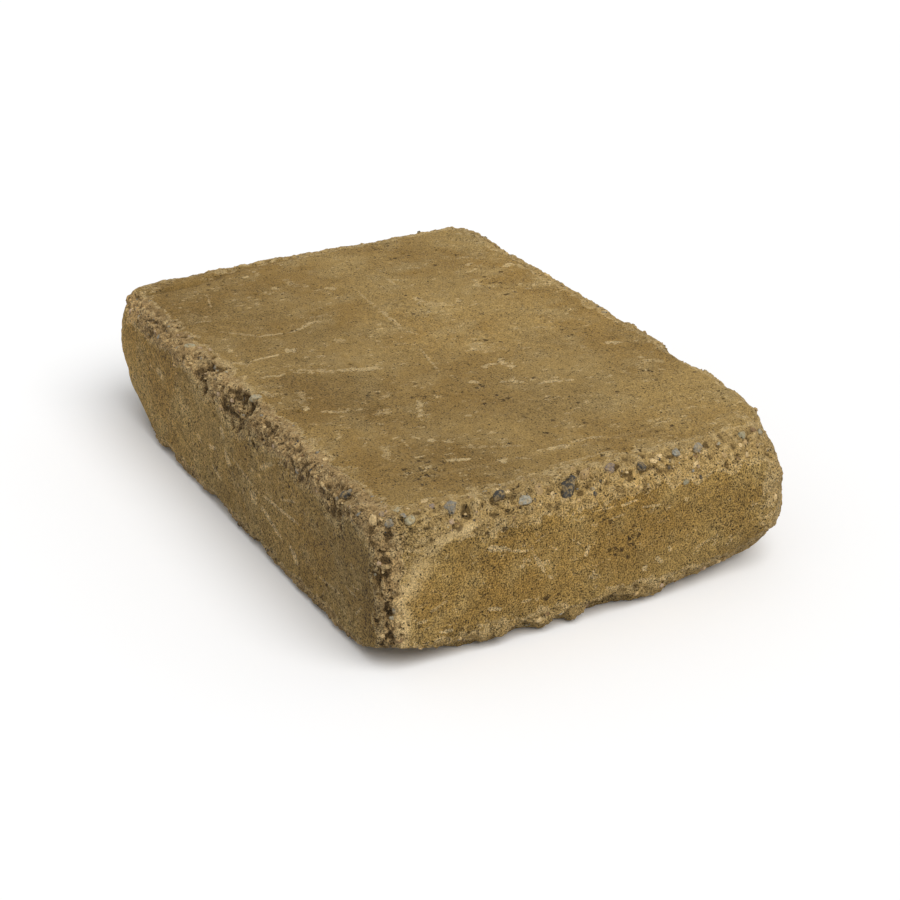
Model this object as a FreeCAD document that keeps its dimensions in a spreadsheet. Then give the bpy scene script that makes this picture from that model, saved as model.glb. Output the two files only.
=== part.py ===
import FreeCAD, Part
import os

import Sketcher
from FreeCAD import Placement, Rotation, Vector

# Tumbled concrete wall coping stone, modelled in millimetres.
# The origin is the middle of the bed face, +X runs along the length and +Z points up.
# The stone is one cast block. Tumbling wore a ball into each corner and a round along each
# arris, which tapers from the balls at its ends to its own radius, and then took bites out of
# the arrises and facets off the corners.
# The sides are front -Y, back +Y, left -X, right +X, bottom -Z and top +Z. An arris is named
# by the two faces that meet there, and a corner by its three.

NODE = "coping_stone"

# The block as cast, and how far every cutter runs out past its faces.
BLOCK_SIZES = [
    ("length", 300, "length of the block along X"),
    ("width", 200, "width of the block along Y"),
    ("height", 65, "height of the block along Z"),
    ("overrun", 5, "how far the cutters of the wear run out past the faces"),
]

# Balls worn into the corners: the corner, the ball's radius, and how far from the corner the
# level arrises taper from the ball's radius to their own.
CORNER_WEAR = [
    ("front_left_top", 17, 44),
    ("front_right_top", 9, 24),
    ("back_left_top", 6.5, 20),
    ("back_right_top", 23, 70),
    ("front_left_bottom", 26, 58),
    ("front_right_bottom", 13, 36),
    ("back_left_bottom", 8, 24),
    ("back_right_bottom", 27, 72),
]

# Radius of the round worn along each arris, away from its corners.
ARRIS_WEAR = [
    ("front_top", 5.5),
    ("back_top", 5),
    ("left_top", 6),
    ("right_top", 12),
    ("front_bottom", 5),
    ("back_bottom", 7),
    ("left_bottom", 7),
    ("right_bottom", 10),
    ("front_right", 5.5),
]

# Upright arrises whose two balls taper straight into each other.
BARREL_ARRISES = ["front_left", "back_left", "back_right"]

# Direction in which the arrises are bitten, in degrees above the level.
LEAN_SIZES = [
    ("front_top_lean", 62, "lean of the bites at front and top, which took more of the top face"),
    ("even_lean", 45, "lean of the other bites, half way between the two faces"),
]

# Bites, the scars that ring-shaped cutters leave along an arris: the arris, the end that the
# place of the bite's middle is measured from, that place, and the bite's length, its depth and
# the radius to which it is hollow across the arris.
BITES = [
    ("front_top", "left", 72, 40, 1.6, 14),
    ("front_top", "left", 112, 26, 3.6, 8),
    ("front_top", "right", 138, 34, 3.8, 12),
    ("front_top", "right", 94, 44, 2, 16),
    ("front_top", "right", 46, 46, 2, 16),
    ("right_top", "front", 46, 48, 1.6, 20),
    ("right_top", "front", 88, 40, 2, 16),
    ("back_top", "right", 88, 34, 4.4, 11),
    ("back_top", "right", 144, 18, 2.2, 6),
    ("left_top", "front", 78, 52, 1.6, 20),
    ("front_bottom", "left", 72, 20, 2.4, 7),
    ("front_bottom", "left", 132, 28, 2.8, 11),
    ("front_bottom", "right", 122, 20, 2.4, 7),
    ("right_bottom", "front", 45, 50, 2.6, 12),
    ("right_bottom", "back", 97, 36, 4, 14),
    ("back_bottom", "right", 110, 30, 2.4, 13),
    ("left_bottom", "back", 76, 36, 2.4, 12),
]

# Facets knocked off corners: the corner, how far from it the facet would meet the sharp
# arrises along X, Y and Z, and the radius to which the facet is hollow.
FACETS = [
    ("front_right_top", 16, 32, 24, 60),
    ("front_right_bottom", 34, 66, 13, 300),
]

# Sides: the axis that each faces along, its sense there, and the block's size along it.
SIDES = {
    "left": ("x", -1, "length"),
    "right": ("x", 1, "length"),
    "front": ("y", -1, "width"),
    "back": ("y", 1, "width"),
    "bottom": ("z", -1, "height"),
    "top": ("z", 1, "height"),
}


def rows_of(name, **sizes):
    """Rows of the sheet for the sizes of one feature."""
    return [(f"{name}_{size}", value, f"{size} of {name}") for size, value in sizes.items()]


def all_rows():
    """Every driving size, as an alias, a plain number and a note."""
    rows = BLOCK_SIZES + LEAN_SIZES
    for corner, wear, flare in CORNER_WEAR:
        rows = rows + rows_of(corner, wear=wear, flare=flare)
    for arris, wear in ARRIS_WEAR:
        rows = rows + rows_of(arris, wear=wear)
    for number, (arris, _, place, long, deep, hollow) in enumerate(BITES, start=1):
        rows = rows + rows_of(f"{arris}_bite_{number}", place=place, long=long, deep=deep, hollow=hollow)
    for corner, along_x, along_y, along_z, hollow in FACETS:
        facet = f"{corner}_facet"
        rows = rows + rows_of(facet, along_x=along_x, along_y=along_y, along_z=along_z, hollow=hollow)
    return rows


def build_sheet(doc):
    """The sheet of driving sizes, one row to a size."""
    sheet = doc.addObject("Spreadsheet::Sheet", "Sizes")
    for row, (alias, value, note) in enumerate(all_rows(), start=1):
        sheet.set(f"A{row}", note)
        sheet.set(f"B{row}", str(value))
        sheet.setAlias(f"B{row}", alias)
    doc.recompute()


def outward(side):
    """Unit vector out of a side."""
    axis, sense, _ = SIDES[side]
    return Vector(*(sense if name == axis else 0 for name in "xyz"))


def inside(side, depth):
    """Coordinate that lies a depth inside a side, as an expression. A depth below 0 is outside."""
    axis, sense, size = SIDES[side]
    middle = "Sizes.height / 2" if axis == "z" else "0"
    return f"{middle} + {sense} * (Sizes.{size} / 2 - ({depth}))"


def bind_place(item, depths):
    """Bind an object's place to its depths inside three sides."""
    for side, depth in depths.items():
        item.setExpression(f"Placement.Base.{SIDES[side][0]}", inside(side, depth))


def build_block(doc):
    """The block as cast: a rectangle about the origin, padded up to the height."""
    body = doc.addObject("PartDesign::Body", "block")
    sketch = body.newObject("Sketcher::SketchObject", "block_plan")
    plane = next(item for item in body.Origin.OriginFeatures if item.Role == "XY_Plane")
    sketch.AttachmentSupport = (plane, [""])
    sketch.MapMode = "FlatFace"
    corners = [Vector(-1, -1, 0), Vector(1, -1, 0), Vector(1, 1, 0), Vector(-1, 1, 0)]
    for start, stop in zip(corners, corners[1:] + corners[:1]):
        sketch.addGeometry(Part.LineSegment(start, stop), False)
    for line in range(4):
        sketch.addConstraint(Sketcher.Constraint("Coincident", line, 2, (line + 1) % 4, 1))
    for line, direction in enumerate(("Horizontal", "Vertical", "Horizontal", "Vertical")):
        sketch.addConstraint(Sketcher.Constraint(direction, line))
    sketch.addConstraint(Sketcher.Constraint("Symmetric", 0, 1, 2, 1, -1, 1))
    for line, size in ((0, "length"), (1, "width")):
        row = sketch.addConstraint(Sketcher.Constraint("Distance", line, 2.0))
        sketch.setExpression(f"Constraints[{row}]", f"Sizes.{size}")
    pad = body.newObject("PartDesign::Pad", "block_height")
    pad.Profile = sketch
    pad.setExpression("Length", "Sizes.height")
    return body


def build_waste_outline(doc, name, sides, end, depth, wear):
    """Section of the waste outside a worn arris, square to the arris at a depth from one end.

    The sketch's own origin is the sharp arris. Its X and Y axes point out of the two faces.
    The waste runs out past both faces, and an arc of the wear's radius closes it inside.
    """
    sketch = doc.addObject("Sketcher::SketchObject", name)
    first, second = outward(sides[0]), outward(sides[1])
    sketch.Placement = Placement(Vector(), Rotation(first, second, first.cross(second), "XYZ"))
    bind_place(sketch, {sides[0]: "0", sides[1]: "0", end: depth})
    quarter = Part.ArcOfCircle(Part.Circle(Vector(-1, -1, 0), Vector(0, 0, 1), 1), 0, 1.5708)
    points = [Vector(0, -1, 0), Vector(1, -1, 0), Vector(1, 1, 0), Vector(-1, 1, 0), Vector(-1, 0, 0)]
    sketch.addGeometry(quarter, False)
    for start, stop in zip(points, points[1:]):
        sketch.addGeometry(Part.LineSegment(start, stop), False)
    arc, below, right, above, left = range(5)
    sketch.addConstraint(Sketcher.Constraint("Coincident", arc, 1, below, 1))
    sketch.addConstraint(Sketcher.Constraint("Coincident", below, 2, right, 1))
    sketch.addConstraint(Sketcher.Constraint("Coincident", right, 2, above, 1))
    sketch.addConstraint(Sketcher.Constraint("Coincident", above, 2, left, 1))
    sketch.addConstraint(Sketcher.Constraint("Coincident", left, 2, arc, 2))
    directions = {below: "Horizontal", right: "Vertical", above: "Horizontal", left: "Vertical"}
    for line, direction in directions.items():
        sketch.addConstraint(Sketcher.Constraint(direction, line))
    sketch.addConstraint(Sketcher.Constraint("Horizontal", arc, 3, arc, 1))
    sketch.addConstraint(Sketcher.Constraint("Vertical", arc, 3, arc, 2))
    bound = [
        (Sketcher.Constraint("Radius", arc, 1.0), wear),
        (Sketcher.Constraint("DistanceX", arc, 3, -1, 1, 1.0), wear),
        (Sketcher.Constraint("DistanceY", arc, 3, -1, 1, 1.0), wear),
        (Sketcher.Constraint("DistanceX", -1, 1, right, 2, 1.0), "Sizes.overrun"),
        (Sketcher.Constraint("DistanceY", -1, 1, right, 2, 1.0), "Sizes.overrun"),
    ]
    for constraint, size in bound:
        row = sketch.addConstraint(constraint)
        sketch.setExpression(f"Constraints[{row}]", size)
    return sketch


def corner_name(*sides):
    """Name of the corner where three sides meet, in the order that the sheet uses."""
    return "_".join(side for side in ("front", "back", "left", "right", "bottom", "top") if side in sides)


def stations(arris, ends):
    """Ends, depths and wear radii at which an arris's waste is drawn, from one end to the other."""
    balls = [f"Sizes.{corner_name(end, *arris.split('_'))}" for end in ends]
    own = f"Sizes.{arris}_wear"
    start = (ends[0], f"{balls[0]}_wear", f"{balls[0]}_wear")
    finish = (ends[1], f"{balls[1]}_wear", f"{balls[1]}_wear")
    if arris in BARREL_ARRISES:
        return [start, finish]
    if "top" in ends:
        return [start, (ends[0], "Sizes.height / 2", own), finish]
    return [start, (ends[0], f"{balls[0]}_flare", own), (ends[1], f"{balls[1]}_flare", own), finish]


def build_arris_waste(doc, arris):
    """The waste outside one worn arris, ruled from section to section."""
    sides = arris.split("_")
    pairs = (("left", "right"), ("front", "back"), ("bottom", "top"))
    ends = next(pair for pair in pairs if not set(pair) & set(sides))
    waste = doc.addObject("Part::Loft", f"{arris}_waste")
    waste.Sections = [
        build_waste_outline(doc, f"{arris}_waste_outline_{number}", sides, end, depth, wear)
        for number, (end, depth, wear) in enumerate(stations(arris, ends), start=1)
    ]
    waste.Solid = True
    waste.Ruled = True
    return waste


def build_corner_waste(doc, corner):
    """The waste outside one worn corner: a cube over the corner less the ball inside it."""
    wear = f"Sizes.{corner}_wear"
    cube = doc.addObject("Part::Box", f"{corner}_cube")
    for edge in ("Length", "Width", "Height"):
        cube.setExpression(edge, f"{wear} + Sizes.overrun")
    near = {1: wear, -1: "-Sizes.overrun"}
    bind_place(cube, {side: near[SIDES[side][1]] for side in corner.split("_")})
    ball = doc.addObject("Part::Sphere", f"{corner}_ball")
    ball.setExpression("Radius", wear)
    bind_place(ball, {side: wear for side in corner.split("_")})
    waste = doc.addObject("Part::Cut", f"{corner}_waste")
    waste.Base = cube
    waste.Tool = ball
    return waste


def build_bite(doc, name, arris, end):
    """A ring, square to the arris, whose outer curve bites a scar of the bite's length and depth.

    The round of the arris turns about an axis one wear radius inside both faces. The ring's
    middle lies the wear radius and the ring's reach, less the bite's depth, out from that axis.
    """
    reach = f"(Sizes.{name}_long ^ 2 / 4 + Sizes.{name}_deep ^ 2) / (2 * Sizes.{name}_deep)"
    ring = doc.addObject("Part::Torus", name)
    ring.setExpression("Radius1", f"{reach} - Sizes.{name}_hollow")
    ring.setExpression("Radius2", f"Sizes.{name}_hollow")
    first, second = arris.split("_")
    if end == "bottom":
        lean = "45deg"
        ring.Placement = Placement(Vector(), Rotation(outward(first) + outward(second), 90))
    else:
        lean = f"Sizes.{'front_top' if arris == 'front_top' else 'even'}_lean * 1deg"
        along = Vector(1, 0, 0) if first in ("front", "back") else Vector(0, -1, 0)
        ring.Placement = Placement(Vector(), Rotation(along, 45))
        ring.setExpression("Placement.Rotation.Angle", f"{SIDES[first][1] * SIDES[second][1]} * {lean}")
    wear = f"Sizes.{arris}_wear"
    out = f"({wear} + {reach} - Sizes.{name}_deep)"
    bind_place(ring, {
        first: f"{wear} - {out} * cos({lean})",
        second: f"{wear} - {out} * sin({lean})",
        end: f"Sizes.{name}_place",
    })
    return ring


def build_facet(doc, corner):
    """A large ball that knocks a corner off along a facet square to its outward direction."""
    name = f"{corner}_facet"
    ball = doc.addObject("Part::Sphere", name)
    ball.setExpression("Radius", f"Sizes.{name}_hollow")
    slopes = {axis: f"1 / Sizes.{name}_along_{axis}" for axis in "xyz"}
    steepness = "sqrt(" + " + ".join(f"({slope}) ^ 2" for slope in slopes.values()) + ")"
    out = f"(Sizes.{name}_hollow - 1 / {steepness}) / {steepness}"
    bind_place(ball, {side: f"-({out}) * {slopes[SIDES[side][0]]}" for side in corner.split("_")})
    return ball


def cut_away(doc, name, base, cutters):
    """A solid less a set of cutters, which are fused first."""
    tool = doc.addObject("Part::MultiFuse", f"{name}_cutters")
    tool.Shapes = cutters
    cut = doc.addObject("Part::Cut", name)
    cut.Base = base
    cut.Tool = tool
    return cut


def check(doc, stone):
    """Stop before anything is written if an object failed or the stone isn't one sound solid."""
    for item in doc.Objects:
        if "Invalid" in item.State or "Error" in item.State:
            raise RuntimeError(f"{item.Name} failed: {item.State}")
    if stone.Shape.isNull() or not stone.Shape.isValid() or len(stone.Shape.Solids) != 1:
        raise RuntimeError(f"{stone.Label} isn't one valid solid")


def main():
    doc = FreeCAD.newDocument("wall_coping_stone")
    build_sheet(doc)
    block = build_block(doc)
    wear = [build_arris_waste(doc, arris) for arris in BARREL_ARRISES + [row[0] for row in ARRIS_WEAR]]
    wear += [build_corner_waste(doc, row[0]) for row in CORNER_WEAR]
    worn = cut_away(doc, "worn_block", block, wear)
    spalls = [
        build_bite(doc, f"{arris}_bite_{number}", arris, end)
        for number, (arris, end, *_) in enumerate(BITES, start=1)
    ]
    spalls += [build_facet(doc, row[0]) for row in FACETS]
    stone = cut_away(doc, NODE, worn, spalls)
    stone.Label = NODE
    doc.recompute()
    check(doc, stone)
    os.makedirs("parts", exist_ok=True)
    stone.Shape.exportStep(f"parts/{stone.Label}.step")
    print(stone.Label, "volume", round(stone.Shape.Volume), "faces", len(stone.Shape.Faces))


main()
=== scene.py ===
import math

import bmesh
import bpy
import numpy as np
from bpy.props import FloatProperty, FloatVectorProperty, IntProperty, PointerProperty
from mathutils import Matrix, Vector, noise
from mathutils.bvhtree import BVHTree


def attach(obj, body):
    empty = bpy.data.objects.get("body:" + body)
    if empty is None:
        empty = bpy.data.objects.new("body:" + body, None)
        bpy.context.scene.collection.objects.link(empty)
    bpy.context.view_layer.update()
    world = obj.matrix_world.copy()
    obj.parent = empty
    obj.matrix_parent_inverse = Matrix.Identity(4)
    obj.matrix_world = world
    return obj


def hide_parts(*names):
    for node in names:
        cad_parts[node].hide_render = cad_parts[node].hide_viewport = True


bl_info = {
    "name": "Tumbled Wall Coping",
    "version": (1, 0, 0),
    "blender": (4, 5, 0),
    "location": "View3D > Sidebar > Coping",
    "description": "Dresses a concrete wall coping stone with tumbled wear, bare gravel and a cast finish",
    "category": "Object",
}

# The stone lies flat on Z = 0 with its length along X. Sizes below are in millimetres unless
# they are a property, which Blender keeps in metres. The faces are front -Y, back +Y, left -X,
# right +X, bottom and top.

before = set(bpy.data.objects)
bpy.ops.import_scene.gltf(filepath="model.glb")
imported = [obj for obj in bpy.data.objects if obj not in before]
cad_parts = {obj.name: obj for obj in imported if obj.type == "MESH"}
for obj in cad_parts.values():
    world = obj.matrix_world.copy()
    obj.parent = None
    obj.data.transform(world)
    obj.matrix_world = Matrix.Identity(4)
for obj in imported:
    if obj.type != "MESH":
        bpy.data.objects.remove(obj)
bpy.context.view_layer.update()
NODE = "coping_stone"
MM = 0.001
HALF = np.array([150.0, 100.0])
TALL = 65.0

# Feature sizes of the worn relief, in millimetres.
RAGGED_SIZE = 9
ROUGH_SIZE = 4.2
SWELL_SIZE = 38
PITTED_SIZE = 26
PIT_CELL = 4.6
TORN_SIZE = 2.4
COARSE_SIZE = 24

# Feature sizes of what the materials show, in millimetres.
PATCH_SIZE = 64
CLOUD_SIZE = 17
UNEVEN_SIZE = 7
SOFT_SIZE = 3.2
FLECK_SIZE = 3.0
DARK_PIT_CELL = 2.7
STROKE_EDGE_SIZE = 2.2
FILM_SIZE = 1.6
PIT_EDGE_SIZE = 1.5
GRAIN_CELL = 1.05
SAND_SIZE = 0.7

# How far apart the seeds set the noise, and what turns a cell's middle into a draw from 0 to 1.
SEED_STEP = np.array([7.31, 3.77, 5.19])
DRAW_MIX = np.array([12.9898, 78.233, 37.719])
DRAW_SCALE = 43758.5453

# The tears in the chips run across the stone, so their noise is drawn out along Y and Z.
TORN_STRETCH = np.array([1, 0.45, 0.3])

# Reach of the broken band along each arris over its first and its second face, and its roughness.
BANDS = [
    (("front", "top"), (9, 11), 1.0),
    (("back", "top"), (7, 8), 0.7),
    (("left", "top"), (8, 9), 0.6),
    (("right", "top"), (12, 14), 1.0),
    (("front", "bottom"), (7, 6), 0.8),
    (("back", "bottom"), (9, 8), 0.8),
    (("left", "bottom"), (9, 8), 0.8),
    (("right", "bottom"), (11, 9), 0.8),
    (("front", "right"), (7, 10), 1.7),
    (("front", "left"), (16, 18), 0.5),
    (("back", "right"), (22, 20), 0.6),
    (("back", "left"), (7, 7), 0.7),
]

# Chips broken out of the arrises: middle, reach along X, Y and Z, and depth.
CHIPS = [
    ((-32, -98, 62), (12, 9, 9), 3.2),
    ((-14, -97, 63), (7, 6, 5), 0.9),
    ((6, -98, 60), (19, 10, 11), 3.1),
    ((40, -98, 60), (12, 8, 9), 1.3),
    ((72, -98, 61), (18, 7, 9), 1.0),
    ((106, -98, 59), (14, 8, 11), 1.4),
    ((-92, -98, 61), (14, 7, 8), 0.8),
    ((-128, -94, 62), (12, 8, 8), 0.6),
    ((147, -96, 10), (5, 3.5, 12), 1.9),
    ((148, -96, 26), (5, 3.5, 11), 1.7),
    ((147, -98, 44), (7, 6, 13), 1.0),
    ((141, -96, 57), (9, 6, 8), 1.0),
    ((143.8, -46, 62.4), (3.0, 3.2, 3.0), 1.9),
    ((146.1, -10, 59.2), (2.6, 2.6, 3.0), 1.4),
    ((142.3, 8.7, 64.2), (3.0, 3.2, 3.0), 1.4),
    ((146.7, 11.8, 61.3), (3.2, 4, 3.4), 1.3),
    ((144.6, -59.8, 61.3), (3.2, 3.2, 4), 1.4),
    ((148.4, -65.3, 58.3), (2.6, 3.0, 2.6), 1.2),
    ((146, -45, 61), (6, 14, 6), 0.6),
    ((144, -10, 62), (8, 12, 6), 0.6),
    ((145, 30, 61), (7, 16, 6), 0.7),
    ((60, 98, 62), (26, 7, 7), 1.6),
    ((-100, 98, 62), (16, 6, 6), 0.9),
    ((-148, 40, 62), (6, 14, 6), 0.8),
    ((-148, 60, 4), (6, 18, 6), 1.1),
    ((-70, 98, 4), (18, 6, 6), 1.2),
]

# Broad wear that changes the outline a little: middle, reach and depth. Below 0 it swells outwards.
BROAD_WEAR = [
    ((-143, -82, 62), (17, 18, 11), -1.5),
    ((-140, -99, 54), (15, 8, 10), 1.1),
    ((-128, -99, 37), (14, 8, 10), -0.8),
    ((-148, -57, 64), (8, 12, 6), 0.9),
    ((-148, -18, 62), (8, 16, 6), -0.7),
    ((111, 93, 61), (15, 12, 8), -1.6),
    ((143, 92, 56), (16, 16, 16), 2.0),
    ((134, 97, 50), (14, 10, 17), 2.8),
    ((130, 92, 61), (10, 9, 9), 2.0),
    ((-146, 97, 64), (10, 8, 5), 1.2),
    ((147, 85, 27), (14, 14, 11), -2.1),
    ((147, -83, 2), (8, 14, 6), 3.4),
    ((148, -50, 4), (8, 9, 6), -2.4),
    ((148, -36, 2), (8, 8, 6), 2.4),
    ((148, -68, 2), (8, 8, 6), 1.9),
    ((148, -25, 3), (8, 5, 6), -1.0),
    ((148, -20, 2), (8, 7, 6), 2.8),
    ((148, -10, 3), (8, 6, 6), -2.3),
    ((147, 4, 2), (8, 9, 6), 3.5),
    ((148, 42, 2), (8, 12, 6), 1.8),
    ((147, 76, 10), (10, 10, 8), 1.0),
    ((-78, -99, 2), (7, 7, 6), 1.2),
]

# Lines along the faces: start, end, half width, depth and paleness. Below 0 a line is dark. The dark lines
# in the groove on the top are painted shade, and the pale lines along the rim of the right end are wear
# with a painted highlight on its rounded edge.
LINES = [
    ((-129, -88, 65), (-130, -62, 65), 4.0, 1.3, -0.35),
    ((-130, -62, 65), (-140, -36, 65), 4.0, 1.3, -0.35),
    ((-140, -36, 65), (-143, 20, 65), 3.2, 0.9, -0.3),
    ((150, -91, 9), (150, -90.5, 27), 4.6, 0, 0.8),
    ((150, -91, 27), (150, -90, 36), 3.4, 0, 0.7),
    ((150, -88.5, 36), (150, -83, 46), 6.6, 0, 0.85),
    ((150, -83, 46), (150, -75, 53), 4.0, 0, 0.75),
    ((150, -75, 53.5), (149, -60, 57), 2.6, 0, 0.8),
    ((149, -62, 58), (148.5, -42, 60.5), 1.8, 0, 0.5),
    ((117, -60, 65), (121, 40, 65), 2.0, 0.2, 0.15),
]

# Tints and painted light: middle, reach and how much paler, or below 0 darker, the stone is there. The
# paler ones are painted light that lifts faces the lamps leave too dark, most of all the front and the
# right end. The darker ones beside the upright arris between the front and the right end are painted
# shade; the other darker ones are darker patches of the stone.
TINTS_AND_PAINTED_LIGHT = [
    ((-112, -55, 65), (70, 60, 20), -0.30),
    ((-40, -55, 65), (60, 48, 12), -0.30),
    ((45, -20, 65), (60, 64, 12), -0.22),
    ((25, -64, 65), (54, 32, 12), -0.40),
    ((80, -50, 65), (44, 36, 12), -0.15),
    ((80, 15, 65), (36, 44, 12), -0.25),
    ((115, -52, 65), (50, 50, 12), -0.35),
    ((-95, -85, 65), (60, 24, 12), -0.20),
    ((-15, 24, 65), (55, 50, 12), 0.25),
    ((-40, 80, 65), (95, 34, 12), 0.25),
    ((105, 64, 65), (44, 44, 12), 0.20),
    ((-90, -100, 34), (100, 12, 44), 0.65),
    ((50, -100, 34), (80, 12, 38), 0.28),
    ((122, -100, 42), (36, 12, 36), -0.30),
    ((-146, -100, 54), (44, 20, 44), 1.0),
    ((-40, -98, 62), (120, 9, 9), 0.15),
    ((150, 10, 30), (8, 130, 50), 0.28),
    ((147, 30, 56), (12, 110, 15), 0.42),
    ((150, -30, 30), (8, 40, 30), 0.20),
    ((150, 20, 12), (8, 120, 20), -0.15),
    ((150, -78, 30), (8, 24, 28), 0.25),
    ((150, -72, 56), (8, 28, 9), -0.05),
    ((142, -60, 62), (12, 44, 9), 0.15),
    ((142, -100, 28), (9, 7, 42), -0.4),
    ((150, -92, 28), (6, 7, 40), 0.30),
]

# What the palest patch multiplies the colour by, as painted light.
PAINTED_LIGHT_LIFT = (1.50, 1.46, 1.36)

# The cast skin of the right end is a little yellower than the rest.
END_TINT = (1.0, 0.98, 0.88)

# Clusters of pits: middle and reach.
PITTED = [
    ((35, -7, 65), 9),
    ((31, -45, 65), 8),
    ((-48, -54, 65), 9),
    ((-63, 20, 65), 8),
    ((64, 0, 65), 8),
    ((83, 67, 65), 10),
    ((98, 17, 65), 9),
    ((107, -4, 65), 8),
    ((110, -60, 65), 14),
    ((150, -67, 43), 5),
    ((150, -33, 46), 6),
    ((150, -23, 18), 7),
    ((150, -52, 50), 6),
    ((150, 10, 30), 12),
    ((-10, -100, 22), 5),
    ((60, -100, 40), 12),
]

# Pebbles laid bare: middle, size (long, wide), turn in degrees and tone.
PEBBLES = [
    ((145.4, -15.2, 61.5), (10.6, 6.4), 80, "slate"),
    ((137, -96, 62.6), (5.6, 3.2), 85, "straw"),
    ((145, 19.5, 62.8), (7.2, 4.2), -10, "slate"),
    ((142.7, 38.7, 63.3), (4.8, 4.0), 10, "pale_blue"),
    ((142.2, 48.9, 63), (5.0, 3.4), 60, "blue_grey"),
    ((140.2, 73.8, 61.8), (4.6, 3.8), 20, "pale_green"),
    ((146.3, -35, 61.2), (5.4, 4.2), 0, "pale_blue"),
    ((143.3, -44.9, 63.3), (5.6, 4.2), 40, "slate"),
    ((143.3, -66.5, 63.6), (6.4, 5.0), 60, "blue_grey"),
    ((136.5, -91.7, 64.4), (3.6, 3.0), 0, "violet"),
    ((136.6, -86.2, 64.4), (4.2, 3.2), 40, "pale_green"),
    ((141.3, -91.6, 61.6), (4.4, 3.4), 80, "blue_grey"),
    ((112.5, -96.3, 63.2), (5.4, 4.2), 20, "slate"),
    ((-56.2, -93.7, 64.6), (5.6, 4.6), 0, "pale_green"),
    ((11.5, -91.2, 64.6), (6.4, 5.2), 30, "grey"),
    ((143, 6.5, 63.4), (6.0, 4.6), 20, "violet"),
    ((149.9, 38.3, 52.9), (3.4, 2.8), 0, "pale_green"),
    ((144.6, -84.4, 63.4), (4.4, 3.6), 50, "pale_green"),
    ((139.9, -72.4, 64.7), (3.6, 2.6), 10, "violet"),
    ((143.5, -4.5, 63.5), (5.4, 4.2), 50, "ochre"),
    ((144, -27, 62.5), (5.6, 4.6), 30, "ochre"),
    ((146.5, -22, 60), (3.8, 3.0), 60, "straw"),
    ((142, 30, 63.5), (4.2, 3.2), 10, "straw"),
]

# A pebble longer than this, in millimetres, gets a finer mesh.
FINE_PEBBLE = 3.9
# Height of a pebble to its width, how uneven it is, and how deep its middle lies at most, to its height.
PEBBLE_HEIGHT = 0.7
PEBBLE_UNEVEN = 0.55
PEBBLE_SINK = 0.2
# How much a stone is lighter or darker than its tone at most.
TONE_SPREAD = 0.18

# Tones of the gravel as screen colours, and the ones that the scattered stones draw from.
TONES = {
    "slate": (34, 32, 26),
    "blue_grey": (114, 109, 96),
    "pale_blue": (134, 131, 117),
    "pale_green": (138, 131, 104),
    "grey": (136, 128, 104),
    "violet": (112, 97, 84),
    "rose": (158, 134, 108),
    "ochre": (158, 130, 84),
    "straw": (186, 160, 112),
    "brown": (112, 84, 46),
}
SCATTERED = ["straw", "ochre", "ochre", "straw", "brown", "grey", "blue_grey", "rose", "ochre", "slate"]
# The film of cement dust on the gravel, and how strongly the gravel shows the grain of sand.
FILM_COLOUR = (156, 132, 90)
GRAVEL_COARSE = 0.8

# Pale scuffs on the top face: middle in X and Y, length, width, turn in degrees and strength.
TOP_SCUFFS = [
    ((-26, -69), 16, 2.5, 95, 0.9),
    ((-28, -56), 6, 7.0, 60, 1.0),
    ((-25, -90), 3, 5.0, 60, 0.9),
    ((-25, -82), 10, 2.5, 45, 0.6),
    ((-5, -75), 12, 3.0, 80, 0.8),
    ((-2, -57), 20, 5.0, 60, 0.7),
    ((6, -38), 20, 5.0, 70, 0.8),
    ((-58, -68), 21, 2.5, 45, 0.6),
    ((-50, -54), 16, 2.5, 80, 0.7),
    ((-53, -38), 18, 2.5, 120, 0.9),
    ((21, -73), 16, 3.5, -20, 0.5),
    ((33, -77), 6, 3.5, -15, 1.0),
    ((42, -69), 14, 2.5, 55, 0.7),
    ((58, -35), 21, 3.0, -25, 0.9),
    ((53, -50), 10, 5.0, 105, 0.6),
    ((-40, 1), 30, 3.0, -5, 0.7),
    ((-73, 3), 28, 2.0, -5, 0.5),
    ((11, -6), 29, 1.5, -10, 0.6),
    ((-58, 24), 8, 4.0, -5, 0.8),
    ((-49, 29), 20, 6.0, 55, 0.5),
    ((-29, -31), 6, 5.5, 60, 0.5),
    ((-104, -65), 18, 1.5, -15, 0.7),
    ((87, -45), 4, 4.5, 45, 1.0),
    ((109, -44), 10, 3.5, 75, 1.0),
    ((89, -67), 13, 3.5, -15, 0.5),
    ((85, -56), 13, 1.0, -5, 0.6),
    ((38, -41), 3, 8.5, 35, 0.5),
    ((-92, -6), 6, 4.5, 35, 0.7),
    ((-109, -20), 13, 5.0, 5, 0.4),
    ((-86, 24), 16, 2.0, 0, 0.6),
    ((-65, -88), 7, 5.5, 50, 0.6),
    ((12, -85), 9, 3.5, 20, 0.8),
    ((-79, 86), 8, 4.5, 95, 1.0),
    ((-89, 70), 5, 4.0, 80, 0.8),
    ((34, 77), 8, 5.0, 80, 1.0),
    ((60, 76), 9, 4.5, 110, 0.5),
    ((61, 82), 8, 5.0, 50, 0.5),
    ((31, 22), 13, 5.0, 0, 0.9),
    ((30, 14), 9, 3.5, 100, 0.8),
    ((59, 31), 18, 3.0, 80, 1.0),
    ((43, -1), 5, 3.5, 60, 0.9),
    ((50, 13), 8, 3.0, 70, 0.9),
    ((10, 21), 12, 9.5, 30, 0.4),
    ((105, -25), 27, 2.5, 65, 0.5),
    ((118, -4), 15, 3.5, 85, 0.9),
    ((117, 12), 16, 2.5, 85, 0.7),
    ((132, 1), 34, 2.5, 90, 0.5),
    ((118, -29), 5, 5.0, 35, 1.0),
    ((120, -20), 8, 2.5, 55, 0.7),
    ((92, -40), 5, 3.0, 60, 0.8),
    ((-64, 60), 13, 3.0, -15, 0.6),
    ((-48, 41), 3, 6.0, 60, 0.7),
    ((73, -20), 3, 3.0, 60, 0.8),
]

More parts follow.
